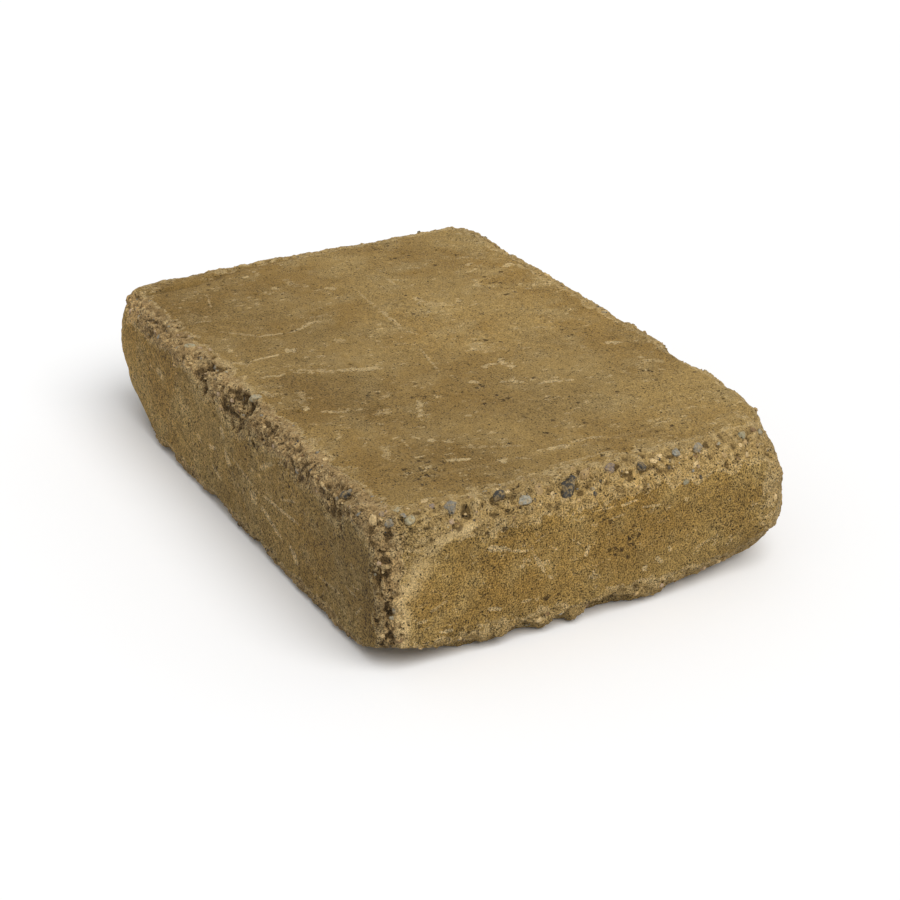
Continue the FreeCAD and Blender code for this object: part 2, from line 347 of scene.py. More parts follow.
# Pale scratches on the front face, in X and Z.
FRONT_SCUFFS = [
    ((45, 21), 26, 3.5, -15, 1.0),
    ((55, 32), 45, 2.0, 5, 1.0),
    ((26, 25), 7, 7.5, -80, 1.0),
    ((-2, 32), 10, 5.0, -40, 1.0),
    ((-19, 30), 11, 2.5, 15, 1.0),
    ((-15, 19), 13, 2.5, -20, 0.8),
    ((17, 32), 33, 2.0, -10, 0.6),
    ((-6, 43), 6, 5.5, -10, 1.0),
    ((-83, 42), 9, 4.5, -5, 0.8),
    ((43, 47), 20, 2.5, 30, 0.8),
    ((68, 16), 10, 5.0, -35, 1.0),
    ((64, 40), 15, 1.5, 20, 0.7),
    ((103, 19), 24, 1.5, 5, 0.6),
    ((124, 26), 13, 1.5, 0, 0.6),
    ((129, 20), 10, 1.5, 45, 0.8),
    ((-55, 35), 7, 6.5, -80, 0.4),
    ((-35, 28), 8, 3.5, -15, 0.5),
]

# Pale marks on the right end, in Y and Z.
END_SCUFFS = [
    ((-48, 44), 11, 4.0, -15, 1.0),
    ((-39, 41), 9, 1.5, -15, 0.9),
    ((-30, 33), 13, 2.5, -60, 0.8),
    ((-8, 33), 5, 2.0, -110, 0.9),
    ((20, 18), 4, 3.0, -70, 1.0),
    ((27, 20), 5, 2.0, -45, 0.9),
    ((32, 24), 4, 2.0, -65, 0.9),
    ((-50, 18), 8, 2.0, -10, 0.9),
    ((-72, 14), 9, 2.0, -5, 1.0),
    ((-82, 21), 5, 2.0, 0, 0.7),
    ((-75, 26), 9, 1.5, 25, 0.5),
    ((0, 50), 13, 1.0, 0, 0.6),
    ((12, 50), 10, 1.5, 5, 0.8),
    ((22, 46), 9, 1.0, -5, 0.7),
    ((5, 45), 10, 1.0, 5, 0.6),
    ((-36, 18), 5, 1.5, 5, 0.6),
    ((-25, 26), 3, 1.5, -45, 0.8),
    ((48, 22), 10, 1.5, 20, 0.5),
]

# Turns that lay the front and the right end flat, so that their marks are placed as on the top.
UPRIGHT_FRONT = (math.radians(-90), 0, 0)
UPRIGHT_END = (math.radians(-90), math.radians(-90), 0)

# The stage: half width of the floor in metres, its tone as light meets it, the sky and the sun.
FLOOR_HALF = 6
FLOOR_TONE = 0.72
SKY_STRENGTH = 0.48
SUN_STRENGTH = 2.1
SUN_SPREAD = 50
SUN_FROM = (0.55, 0.08, 0.8)
SENSOR_WIDTH = 36


def linear(*colour):
    """A screen colour from 0 to 255 as Blender's linear numbers."""
    return tuple((c / 255 / 12.92) if c <= 10 else ((c / 255 + 0.055) / 1.055) ** 2.4 for c in colour)


class StoneSizes(bpy.types.PropertyGroup):
    """Sizes of the stone's relief."""

    grid: FloatProperty(
        name="Grid", description="Spacing of the mesh before thinning", default=0.0008, unit="LENGTH"
    )
    triangles: IntProperty(name="Triangles", description="Most triangles of the stone", default=196000)
    lump: FloatProperty(
        name="Lump", description="Size of the lumps in the broken bands", default=0.0028, unit="LENGTH"
    )
    crumble: FloatProperty(
        name="Crumble", description="Depth of the broken bands", default=0.0012, unit="LENGTH"
    )
    swell: FloatProperty(
        name="Swell", description="Depth of the faces' slow unevenness", default=0.00045, unit="LENGTH"
    )
    pit: FloatProperty(
        name="Pit", description="Depth of the pits in the faces", default=0.0009, unit="LENGTH"
    )
    seed: IntProperty(name="Seed", description="Start of the random draws", default=11)


class GravelSizes(bpy.types.PropertyGroup):
    """Sizes of the exposed gravel."""

    count: IntProperty(name="Count", description="How many small stones show", default=900)
    least: FloatProperty(name="Least", description="Smallest stone", default=0.0010, unit="LENGTH")
    most: FloatProperty(name="Most", description="Largest scattered stone", default=0.0036, unit="LENGTH")
    seed: IntProperty(name="Seed", description="Start of the random draws", default=5)


def colour_property(name, description, *colour):
    """A colour that a user may change."""
    return FloatVectorProperty(
        name=name, description=description, subtype="COLOR", size=3, min=0, max=1, default=linear(*colour)
    )


class ConcreteColours(bpy.types.PropertyGroup):
    """Colours of the concrete."""

    ochre: colour_property("Ochre", "Main colour of the faces", 154, 127, 75)
    umber: colour_property("Umber", "Darker, browner patches", 141, 112, 59)
    dust: colour_property("Dust", "Greyer, paler patches", 161, 138, 92)
    broken: colour_property("Broken", "Colour of the broken bands", 160, 134, 86)
    rosy: colour_property("Rosy", "Colour of the broken bands along the front", 158, 131, 92)
    # Also the painted highlight on the rises of the relief and along the rim of the right end.
    scuff_and_painted_highlight: colour_property("Scuff", "Pale scuffs and scratches", 190, 166, 120)
    # Also the painted shade in the small pits and in the hollows of the relief.
    pit: colour_property("Pit", "Dark pits", 66, 48, 20)
    # Also the painted shade in the groove on the top, in the deepest chips and beside the upright arris
    # between the front and the right end.
    dark_tint_and_painted_shade: colour_property("Grime", "Dark stains", 104, 80, 38)


class CameraPlace(bpy.types.PropertyGroup):
    """Where the camera stands, as fitted to the block's edges in the photograph."""

    azimuth: FloatProperty(
        name="Azimuth", description="Turn round the stone", default=math.radians(61.8709), subtype="ANGLE"
    )
    elevation: FloatProperty(
        name="Elevation",
        description="Height over the horizon",
        default=math.radians(25.1412),
        subtype="ANGLE",
    )
    roll: FloatProperty(
        name="Roll", description="Turn of the picture", default=math.radians(-0.2548), subtype="ANGLE"
    )
    distance: FloatProperty(
        name="Distance", description="Distance from the stone's middle", default=0.9308378, unit="LENGTH"
    )
    side: FloatProperty(
        name="Side", description="Step to the left in the picture", default=-0.0091069, unit="LENGTH"
    )
    rise: FloatProperty(
        name="Rise", description="Step down in the picture", default=0.0165905, unit="LENGTH"
    )
    lens: FloatProperty(name="Lens", description="Focal length on a 36 mm sensor", default=80.97)


# Geometry

def gaps(points):
    """Distance in millimetres of each point inside each of the six faces."""
    return {
        "left": points[:, 0] + HALF[0],
        "right": HALF[0] - points[:, 0],
        "front": points[:, 1] + HALF[1],
        "back": HALF[1] - points[:, 1],
        "bottom": points[:, 2],
        "top": TALL - points[:, 2],
    }


def smooth_step(low, high, value):
    """0 below low, 1 above high, and an even rise between."""
    t = np.clip((value - low) / (high - low), 0, 1)
    return t * t * (3 - 2 * t)


def noise_field(points, size, octaves, seed):
    """Fractal noise from about -1 to 1 whose largest features have the size, at each point."""
    places = points / size + SEED_STEP * seed
    return np.array([noise.fractal(p, 0.8, 2.0, octaves) for p in places.tolist()])


def cell_field(points, size, seed):
    """Distance of each point to its cell's middle, its gap to the next cell, and a draw per cell.

    The distance and the gap are in cell sizes.
    """
    places = points / size + SEED_STEP * seed
    rows = [noise.voronoi(p) for p in places.tolist()]
    near = np.array([row[0][:2] for row in rows])
    middle = np.array([row[1][0] for row in rows])
    draw = np.abs(np.modf(np.sin(middle @ DRAW_MIX) * DRAW_SCALE)[0])
    return near[:, 0], near[:, 1] - near[:, 0], draw


def band_field(points, ragged):
    """How far each point is inside a broken band, from 0 to the band's roughness."""
    inside = gaps(points)
    band = np.zeros(len(points))
    for (first, second), (over_first, over_second), rough in BANDS:
        far = np.maximum(inside[second] / over_first, inside[first] / over_second)
        band = np.maximum(band, rough * (1 - smooth_step(0.7, 1.25, far + 0.35 * ragged)))
    return band


def mesh_of(obj):
    """The object's mesh with its modifiers applied."""
    graph = bpy.context.evaluated_depsgraph_get()
    return bpy.data.meshes.new_from_object(obj.evaluated_get(graph))


def apply_modifiers(obj):
    """Put the modified mesh in the object and clear its modifiers."""
    made = mesh_of(obj)
    old = obj.data
    obj.modifiers.clear()
    obj.data = made
    bpy.data.meshes.remove(old)


def coordinates(mesh):
    """The mesh's points in millimetres."""
    co = np.empty(len(mesh.vertices) * 3)
    mesh.vertices.foreach_get("co", co)
    return co.reshape(-1, 3) / MM


def normals_of(mesh):
    """The mesh's unit normals at its points."""
    out = np.empty(len(mesh.vertices) * 3)
    mesh.vertex_normals.foreach_get("vector", out)
    return out.reshape(-1, 3)


def relax(values, edges, count, times):
    """Values averaged with their neighbours along the edges, some times over."""
    for _ in range(times):
        there = np.bincount(edges[:, 0], values[edges[:, 1]], len(values))
        back = np.bincount(edges[:, 1], values[edges[:, 0]], len(values))
        values = (values + there + back) / count
    return values


def falloff(points, centre, reach, ragged, full):
    """1 about the centre, 0 past the reach along X, Y and Z, and ragged between."""
    far = np.linalg.norm((points - np.array(centre)) / np.array(reach), axis=1)
    return 1 - smooth_step(full, 1.0, far * (1 + 0.3 * ragged))


def dents(points, rows, ragged):
    """Depth at each point of the dents in the rows, where the deepest counts."""
    total = np.zeros(len(points))
    for centre, reach, deep in rows:
        share = deep * falloff(points, centre, reach, ragged, 0.55)
        total = np.where(np.abs(share) > np.abs(total), share, total)
    return total


def tints_and_painted_light(points, ragged):
    """How much paler, as painted light, or below 0 darker, the listed patches make each point."""
    total = np.zeros(len(points))
    for centre, reach, amount in TINTS_AND_PAINTED_LIGHT:
        total += amount * falloff(points, centre, reach, ragged, 0.25)
    return total


def lines(points, ragged):
    """Depth and paleness at each point of the lines along the faces. Below 0 a line is dark, as painted
    shade; the pale rim lines are wear with a painted highlight.
    """
    depth = np.zeros(len(points))
    pale = np.zeros(len(points))
    for start, end, half, deep, bright in LINES:
        start = np.array(start, float)
        along = np.array(end, float) - start
        share = np.clip((points - start) @ along / (along @ along), 0, 1)
        far = np.linalg.norm(points - start - share[:, None] * along, axis=1) / half
        near = 1 - smooth_step(0.1, 1.1, far * (1 + 0.35 * ragged))
        depth = np.maximum(depth, deep * near)
        pale = np.where(np.abs(bright * near) > np.abs(pale), bright * near, pale)
    return depth, pale


def crumble_depth(points, band, rough, sizes):
    """Depth of the broken bands, and how near each point is to a crevice between two lumps."""
    _, gap, draw = cell_field(points, sizes.lump / MM, sizes.seed + 3)
    crevice = 1 - smooth_step(0.0, 0.5, gap)
    missing = (draw < 0.08).astype(float) * smooth_step(0.05, 0.45, gap)
    relief = 0.9 * rough + 0.35 * crevice + 0.25 * missing - 0.05
    return band * (sizes.crumble / MM) * relief, crevice


def pitted_field(points, ragged, seed):
    """How thickly the pits lie at each point, from 0 to 1."""
    pitted = 0.5 * smooth_step(0.0, 0.6, noise_field(points, PITTED_SIZE, 2, seed + 7))
    for centre, reach in PITTED:
        far = np.linalg.norm(points - np.array(centre), axis=1) / reach
        pitted = np.maximum(pitted, 1 - smooth_step(0.4, 1.1, far * (1 + 0.3 * ragged)))
    return pitted


def pit_depth(points, pitted, band, sizes):
    """Depth of the round pits, which are shallower in the broken bands."""
    middle, _, draw = cell_field(points, PIT_CELL, sizes.seed + 6)
    wide = 0.16 + 0.18 * np.modf(draw * 31)[0]
    pits = (draw < 0.05 + 0.22 * pitted) * np.clip(1 - (middle / wide) ** 2, 0, 1)
    return sizes.pit / MM * pits * (1 - 0.6 * np.clip(band, 0, 1))


def chip_depth(points, ragged, rough, crevice, seed):
    """Depth of the chips with their torn floor."""
    chips = dents(points, CHIPS, ragged + 1.3 * rough)
    torn = noise_field(points * TORN_STRETCH, TORN_SIZE, 4, seed + 8)
    return chips * (0.8 + 0.2 * crevice) + np.clip(chips, 0, 1) * 1.3 * torn


def hollow_field(mesh, depth):
    """How low the relief lies at each point against its neighbours: 0 on a rise, one half on even ground,
    1 in a hole. The material paints shade and highlight from it.
    """
    edges = np.empty(len(mesh.edges) * 2, dtype=np.int64)
    mesh.edges.foreach_get("vertices", edges)
    edges = edges.reshape(-1, 2)
    count = 1.0 + np.bincount(edges.ravel(), minlength=len(depth))
    near = relax(depth, edges, count, 1)
    return np.clip(near - relax(near, edges, count, 20) + 0.5, 0, 1)


def move_points(mesh, points):
    """Put the mesh's points at these places in millimetres, kept inside the block."""
    low = np.array([-HALF[0], -HALF[1], 0])
    high = np.array([HALF[0], HALF[1], TALL])
    mesh.vertices.foreach_set("co", (np.clip(points, low, high) * MM).astype(np.float32).ravel())


def sculpt(mesh, sizes):
    """Wear the even stone, and store at its points what its material needs."""
    points = coordinates(mesh)
    normals = normals_of(mesh)
    seed = sizes.seed
    ragged = noise_field(points, RAGGED_SIZE, 3, seed)
    rough = noise_field(points, ROUGH_SIZE, 5, seed + 5)
    band = band_field(points, ragged)
    pitted = pitted_field(points, ragged, seed)

    swell = sizes.swell / MM * (0.5 + 0.5 * noise_field(points, SWELL_SIZE, 3, seed + 1))
    broken, crevice = crumble_depth(points, band, rough, sizes)
    pits = pit_depth(points, pitted, band, sizes)
    chips = chip_depth(points, ragged, rough, crevice, seed)
    line_depth, line_wear_and_painted_light = lines(points, ragged)
    depth = swell + broken + pits + chips + line_depth + dents(points, BROAD_WEAR, 0)
    move_points(mesh, points - normals * depth[:, None])

    worn = np.clip(band + np.clip(chips, 0, 1), 0, 1)
    on_front = np.clip(-normals[:, 1], 0, 1)
    on_end = np.clip(normals[:, 0], 0, 1)
    coarse = 1.15 + 0.8 * on_front + 0.85 * on_end + 0.3 * noise_field(points, COARSE_SIZE, 3, seed + 9)
    # The pale lines keep only their wear and painted highlight here; their dark part goes into the painted
    # shade below.
    pale = np.maximum(line_wear_and_painted_light, 0)
    attributes = {
        "worn": worn,
        # Painted light: the material darkens the stone where this is high and pales it where this is low.
        "painted_relief_light": hollow_field(mesh, broken + pits + 1.3 * chips),
        # Painted light and shade in one value, with darker patches of the stone: the paler patches lift
        # dim faces, and the groove's dark lines and the deepest parts of the chips get painted shade.
        "tint_and_painted_light": tints_and_painted_light(points, ragged) + np.minimum(line_wear_and_painted_light, 0) - 0.1 * np.clip(chips - 0.9, 0, 1),
        "pale": pale,
        "pitted": pitted,
        "coarse": (coarse - 0.15 * worn) * (1 - 0.5 * pale),
    }
    for name, values in attributes.items():
        layer = mesh.attributes.new(name, "FLOAT", "POINT")
        layer.data.foreach_set("value", values.astype(np.float32))
    mesh.update()


# Nodes

class Tree:
    """A node tree with short ways to add its nodes."""

    def __init__(self, tree):
        self.tree = tree

    def link(self, value, socket):
        """Feed the socket from the value."""
        self.tree.links.new(value, socket)

    def add(self, kind, inputs=None, **settings):
        """A node of the kind, with its settings and its inputs, each a number, a colour or a socket."""
        node = self.tree.nodes.new(kind)
        for name, value in settings.items():
            setattr(node, name, value)
        for key, value in (inputs or {}).items():
            if isinstance(value, bpy.types.NodeSocket):
                self.link(value, node.inputs[key])
            else:
                node.inputs[key].default_value = value
        return node

    def math(self, operation, a, b=0.0, c=0.0):
        """A number from up to three others."""
        return self.add("ShaderNodeMath", {0: a, 1: b, 2: c}, operation=operation).outputs[0]

    def most(self, first, *others):
        """The greatest of some numbers."""
        for other in others:
            first = self.math("MAXIMUM", first, other)
        return first

    def span(self, value, low, high, to_low=0.0, to_high=1.0, smooth=True):
        """The value taken from one range to another and held within it."""
        kind = "SMOOTHSTEP" if smooth else "LINEAR"
        inputs = {"Value": value, "From Min": low, "From Max": high, "To Min": to_low, "To Max": to_high}
        return self.add("ShaderNodeMapRange", inputs, interpolation_type=kind).outputs[0]

    def noise(self, where, size, detail=2.0, rough=0.5, seed=0.0):
        """Noise whose largest features have the size in millimetres."""
        shift = (seed, seed * 0.7, seed * 1.3)
        shifted = self.add("ShaderNodeVectorMath", {0: where, 1: shift}, operation="ADD").outputs[0]
        inputs = {"Vector": shifted, "Scale": 1 / size, "Detail": detail, "Roughness": rough}
        return self.add("ShaderNodeTexNoise", inputs).outputs[0]

    def cells(self, where, size):
        """Cells of the size in millimetres: distance to the middle and a draw per cell."""
        out = self.add("ShaderNodeTexVoronoi", {"Vector": where, "Scale": 1 / size}).outputs
        return out["Distance"], out["Color"]

    def blend(self, amount, a, b, kind="MIX"):
        """Colour a turned into b by the amount."""
        node = self.add("ShaderNodeMix", data_type="RGBA", blend_type=kind)
        for key, value in ((0, amount), (6, a), (7, b)):
            if isinstance(value, bpy.types.NodeSocket):
                self.link(value, node.inputs[key])
            elif key == 0:
                node.inputs[key].default_value = value
            else:
                node.inputs[key].default_value = (*value[:3], 1)
        return node.outputs[2]


def new_group(name, inputs, outputs):
    """An empty node group with named inputs and outputs."""
    tree = bpy.data.node_groups.new(name, "ShaderNodeTree")
    for label, kind in inputs:
        tree.interface.new_socket(name=label, in_out="INPUT", socket_type=kind)
    for label, kind in outputs:
        tree.interface.new_socket(name=label, in_out="OUTPUT", socket_type=kind)
    made = Tree(tree)
    return made, made.add("NodeGroupInput"), made.add("NodeGroupOutput")


def sand_group():
    """Sand in cement: a shade factor and a height in millimetres for any cast or stony surface."""
    group, start, end = new_group(
        "sand_grain",
        [("Position", "NodeSocketVector"), ("Coarse", "NodeSocketFloat")],
        [("Shade", "NodeSocketFloat"), ("Height", "NodeSocketFloat")],
    )
    where, coarse = start.outputs["Position"], start.outputs["Coarse"]
    soft = group.noise(where, SOFT_SIZE, 3, 0.65, 3)
    sand = group.noise(where, SAND_SIZE, 2, 0.8, 9)
    distance, draw = group.cells(where, GRAIN_CELL)
    uneven = group.math("MULTIPLY_ADD", sand, 1.2, group.math("ADD", distance, -0.6))
    dark = group.math("MULTIPLY", group.span(draw, 0.28, 0.22), group.span(uneven, 0.42, 0.28))
    pale = group.math("MULTIPLY", group.span(draw, 0.8, 0.86), group.span(uneven, 0.42, 0.22))
    slow = group.span(soft, 0.37, 0.63, -0.11, 0.11, False)
    quick = group.span(sand, 0.4, 0.6, -0.38, 0.38, False)
    specks = group.math("MULTIPLY_ADD", dark, -0.95, group.math("MULTIPLY", pale, 0.3))
    total = group.math("MULTIPLY", group.math("ADD", group.math("ADD", slow, quick), specks), coarse)
    shade = group.math("MAXIMUM", group.math("ADD", total, 1.20), 0.2)
    group.link(shade, end.inputs["Shade"])
    height = group.math("MULTIPLY_ADD", soft, 0.9, group.math("MULTIPLY", sand, 1.1))
    height = group.math("MULTIPLY_ADD", dark, -0.5, height)
    group.link(group.math("MULTIPLY", height, coarse), end.inputs["Height"])
    return group.tree


def stroke_group():
    """A pale stroke: a soft, broken line about a middle in a flat plane, turned and sized."""
    numbers = ("Turn", "Length", "Width", "Ragged", "Strength")
    group, start, end = new_group(
        "pale_stroke",
        [("Position", "NodeSocketVector"), ("Middle", "NodeSocketVector")]
        + [(name, "NodeSocketFloat") for name in numbers],
        [("Mask", "NodeSocketFloat")],
    )
    out = start.outputs
    ends = {0: out["Position"], 1: out["Middle"]}
    away = group.add("ShaderNodeVectorMath", ends, operation="SUBTRACT").outputs[0]
    spin = {"Vector": away, "Angle": out["Turn"]}
    turned = group.add("ShaderNodeVectorRotate", spin, rotation_type="Z_AXIS", invert=True).outputs[0]
    parts = group.add("ShaderNodeSeparateXYZ", {0: turned}).outputs
    shares = [
        group.math("DIVIDE", group.math("ABSOLUTE", part), group.math("MULTIPLY", out[name], 0.5))
        for part, name in ((parts[0], "Length"), (parts[1], "Width"))
    ]
    far = group.math("ADD", group.math("POWER", shares[0], 4.0), group.math("POWER", shares[1], 2.0))
    flat = group.math("LESS_THAN", group.math("ABSOLUTE", parts[2]), 1.5)
    mask = group.span(group.math("ADD", far, out["Ragged"]), 1.1, 0.6)
    strong = group.math("MULTIPLY", flat, out["Strength"])
    group.link(group.math("MULTIPLY", mask, strong), end.inputs["Mask"])
    return group.tree


def object_position(tree):
    """The place on the stone in millimetres."""
    where = tree.add("ShaderNodeTexCoord").outputs["Object"]
    return tree.add("ShaderNodeVectorMath", {0: where, "Scale": 1 / MM}, operation="SCALE").outputs[0]


def strokes(tree, where, group, rows, ragged):
    """All the strokes of one plane as one mask.

    Each stroke joins the mask before the next is made, as Cycles can hold only some values at once.
    """
    total = None
    for (x, y), length, width, turn, strength in rows:
        inputs = {
            "Position": where,
            "Middle": (x, y, 0),
            "Turn": math.radians(turn),
            "Length": length,
            "Width": width,
            "Ragged": ragged,
            "Strength": strength,
        }
        mask = tree.add("ShaderNodeGroup", inputs, node_tree=group).outputs["Mask"]
        total = mask if total is None else tree.most(total, mask)
    return total


def new_material(name):
    """A material with its node helper and its shader."""
    material = bpy.data.materials.new(name)
    material.use_nodes = True
    tree = Tree(material.node_tree)
    shader = material.node_tree.nodes["Principled BSDF"]
    return material, tree, shader


def field(tree, name):
    """A value that the mesh carries at its points."""
    return tree.add("ShaderNodeAttribute", attribute_name=name).outputs["Fac"]


def cast_colour(tree, colours, where, clouds, worn):
    """Ochre in slow patches, greyer clouds, the right end's tint, broken bands, and darker patches with
    painted shade.
    """
    patches = tree.noise(where, PATCH_SIZE, 4, 0.6, 1)
    colour = tree.blend(tree.span(patches, 0.38, 0.62), colours.ochre, colours.umber)
    colour = tree.blend(tree.span(clouds, 0.42, 0.72, 0, 0.7), colour, colours.dust)
    place = tree.add("ShaderNodeSeparateXYZ", {0: where}).outputs
    near_end = tree.span(place[0], HALF[0] - 8, HALF[0] - 3)
    colour = tree.blend(near_end, colour, END_TINT, "MULTIPLY")
    near_front = tree.span(place[1], 14 - HALF[1], 8 - HALF[1], 0, 0.8)
    broken = tree.blend(near_front, colours.broken, colours.rosy)
    colour = tree.blend(tree.span(worn, 0.2, 0.8, 0, 0.8), colour, broken)
    # Below 0 the colour turns darker: darker patches of the stone, and painted shade in the groove, the
    # chips and beside the upright arris.
    return tree.blend(tree.span(field(tree, "tint_and_painted_light"), 0, -1, 0, 1, False), colour, colours.dark_tint_and_painted_shade)


def stretched(tree, where):
    """The place with its changes across the stone drawn out, as marks of handling are."""
    scale = {0: where, 1: (1, 0.55, 0.8)}
    return tree.add("ShaderNodeVectorMath", scale, operation="MULTIPLY").outputs[0]


def laid_flat(tree, where, reach, turn):
    """The place on a side face, turned to lie flat at zero height."""
    inputs = {"Vector": where, "Location": (0, 0, -reach), "Rotation": turn}
    return tree.add("ShaderNodeMapping", inputs).outputs[0]


def scuffs(tree, stroke, where, clouds, worn):
    """Pale marks: strokes, flecks, the pale lines that are wear with a painted highlight along the right
    end's rim, and the ragged edge of the broken bands.
    """
    drawn_out = stretched(tree, where)
    edge_noise = tree.noise(drawn_out, STROKE_EDGE_SIZE, 3, 0.7, 21)
    ragged = tree.span(edge_noise, 0.36, 0.64, -0.9, 1.5, False)
    calm = tree.math("MULTIPLY", ragged, 0.6)
    top = tree.add("ShaderNodeVectorMath", {0: where, 1: (0, 0, -TALL)}, operation="ADD").outputs[0]
    front = laid_flat(tree, where, HALF[1], UPRIGHT_FRONT)
    on_top = strokes(tree, top, stroke, TOP_SCUFFS, ragged)
    end = laid_flat(tree, where, HALF[0], UPRIGHT_END)
    on_front = strokes(tree, front, stroke, FRONT_SCUFFS, calm)
    on_sides = tree.most(on_front, strokes(tree, end, stroke, END_SCUFFS, calm))
    thin = tree.span(tree.noise(drawn_out, FLECK_SIZE, 3, 0.7, 31), 0.59, 0.66)
    flecks = tree.math("MULTIPLY", thin, tree.span(clouds, 0.44, 0.58, 0.15, 0.9))
    edge = tree.math("MULTIPLY", tree.span(worn, 0.05, 0.3), tree.span(worn, 0.8, 0.45))
    edge = tree.math("MULTIPLY", edge, tree.span(ragged, 1.0, 0.0, 0, 0.7))
    # Pale rim lines: wear with a painted highlight.
    lined = tree.math("MULTIPLY", field(tree, "pale"), tree.span(ragged, 1.6, 0.4, 0.5, 1.1))
    marks = tree.most(on_top, on_sides, flecks)
    return tree.most(edge, lined, marks)


def pits_in_painted_shade(tree, where):
    """Small pits with rough edges, thick where the mesh is pitted; the material paints shade into them."""
    distance, draw = tree.cells(where, DARK_PIT_CELL)
    rough_edge = tree.math("MULTIPLY_ADD", tree.noise(where, PIT_EDGE_SIZE, 2, 0.7, 61), 1.4, -0.7)
    uneven = tree.math("ADD", distance, rough_edge)
    few = tree.math("LESS_THAN", draw, tree.span(field(tree, "pitted"), 0, 1, 0.05, 0.4, False))
    return tree.math("MULTIPLY", few, tree.span(uneven, 0.42, 0.26))


def with_sand(tree, colour, where, coarse, sand):
    """The colour with the sand's shade on it, and the height of the sand in millimetres."""
    grains = tree.add("ShaderNodeGroup", {0: where, 1: coarse}, node_tree=sand).outputs
    grain = grains["Shade"]
    shade = tree.add("ShaderNodeCombineColor", {0: grain, 1: grain, 2: grain}).outputs[0]
    return tree.blend(1.0, colour, shade, "MULTIPLY"), grains["Height"]


def concrete_material(colours, sand, stroke):
    """Cast, tumbled concrete: ochre patches, sand, pits, scuffs and broken bands, with painted shade in
    the pits and hollows, painted highlights on the rises and painted light on faces that the lamps leave
    dim.
    """
    material, tree, shader = new_material("tumbled_concrete")
    where = object_position(tree)
    worn = field(tree, "worn")
    painted_relief_light = field(tree, "painted_relief_light")
    clouds = tree.noise(where, CLOUD_SIZE, 5, 0.6, 5)
    colour = cast_colour(tree, colours, where, clouds, worn)
    marks = scuffs(tree, stroke, where, clouds, worn)
    colour = tree.blend(tree.math("MULTIPLY", marks, 0.85), colour, colours.scuff_and_painted_highlight)
    pits = pits_in_painted_shade(tree, where)
    # Painted shade in the small pits.
    colour = tree.blend(tree.math("MULTIPLY", pits, 0.85), colour, colours.pit)
    # Painted shade in the hollows of the relief, and a painted highlight on its rises.
    colour = tree.blend(tree.span(painted_relief_light, 0.6, 0.98, 0, 0.7), colour, colours.pit)
    colour = tree.blend(tree.span(painted_relief_light, 0.42, 0.15, 0, 0.4), colour, colours.scuff_and_painted_highlight)
    # Painted light: the paler patches lift the faces that the lamps leave too dark.
    painted_light = tree.span(field(tree, "tint_and_painted_light"), 0, 1, 0, 1, False)
    colour = tree.blend(painted_light, colour, PAINTED_LIGHT_LIFT, "MULTIPLY")
    colour, grain = with_sand(tree, colour, where, field(tree, "coarse"), sand)
    tree.link(colour, shader.inputs["Base Color"])

    height = tree.math("MULTIPLY_ADD", pits, -0.9, grain)
    height = tree.math("MULTIPLY_ADD", tree.noise(where, UNEVEN_SIZE, 3, 0.6, 51), 0.3, height)
    bump = tree.add("ShaderNodeBump", {"Strength": 1.0, "Distance": MM, "Height": height})
    tree.link(bump.outputs[0], shader.inputs["Normal"])
    tree.link(tree.span(clouds, 0.3, 0.7, 0.86, 0.97), shader.inputs["Roughness"])
    shader.inputs["Specular IOR Level"].default_value = 0.25
    return material


def gravel_material(sand):
    """Bare gravel: each stone its own tone from the mesh, with a film of cement dust."""
    material, tree, shader = new_material("bare_gravel")
    where = object_position(tree)
    tone = tree.add("ShaderNodeAttribute", attribute_name="tone").outputs["Color"]
    film = tree.span(tree.noise(where, FILM_SIZE, 4, 0.7, 13), 0.45, 0.6, 0, 0.6)
    colour = tree.blend(film, tone, linear(*FILM_COLOUR))
    colour, grain = with_sand(tree, colour, where, GRAVEL_COARSE, sand)
    tree.link(colour, shader.inputs["Base Color"])
    bump = tree.add("ShaderNodeBump", {"Strength": 0.5, "Distance": MM, "Height": grain})
    tree.link(bump.outputs[0], shader.inputs["Normal"])
    tree.link(tree.span(film, 0, 0.5, 0.6, 0.95), shader.inputs["Roughness"])
    return material


# Pieces

def new_object(context, name, data):
    """An object with the data, put in the scene."""
    made = bpy.data.objects.new(name, data)
    context.scene.collection.objects.link(made)
    return made


class COPING_OT_stone(bpy.types.Operator):
    """Make the worn stone over the plain solid"""

    bl_idname = "coping.stone"
    bl_label = "Worn stone"

    def execute(self, context):
        sizes = context.scene.coping_stone
        solid = bmesh.new()
        solid.from_mesh(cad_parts[NODE].data)
        bmesh.ops.remove_doubles(solid, verts=solid.verts, dist=1e-6)
        mesh = bpy.data.meshes.new("worn_stone")
        solid.to_mesh(mesh)
        solid.free()
        stone = new_object(context, "worn_stone", mesh)
        remesh = stone.modifiers.new("even_grid", "REMESH")
        remesh.mode = "VOXEL"
        remesh.voxel_size = sizes.grid
        apply_modifiers(stone)
        sculpt(stone.data, sizes)
        thin = stone.modifiers.new("thinned", "DECIMATE")
        thin.ratio = min(1.0, sizes.triangles / (2 * len(stone.data.polygons)))
        thin.use_collapse_triangulate = True
        apply_modifiers(stone)
        stone.data.name = "worn_stone"
        stone.data.shade_smooth()
        sand = bpy.data.node_groups.get("sand_grain") or sand_group()
        stone.data.materials.clear()
        stone.data.materials.append(concrete_material(context.scene.coping_colours, sand, stroke_group()))
        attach(stone, "root")
        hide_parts(NODE)
        return {"FINISHED"}


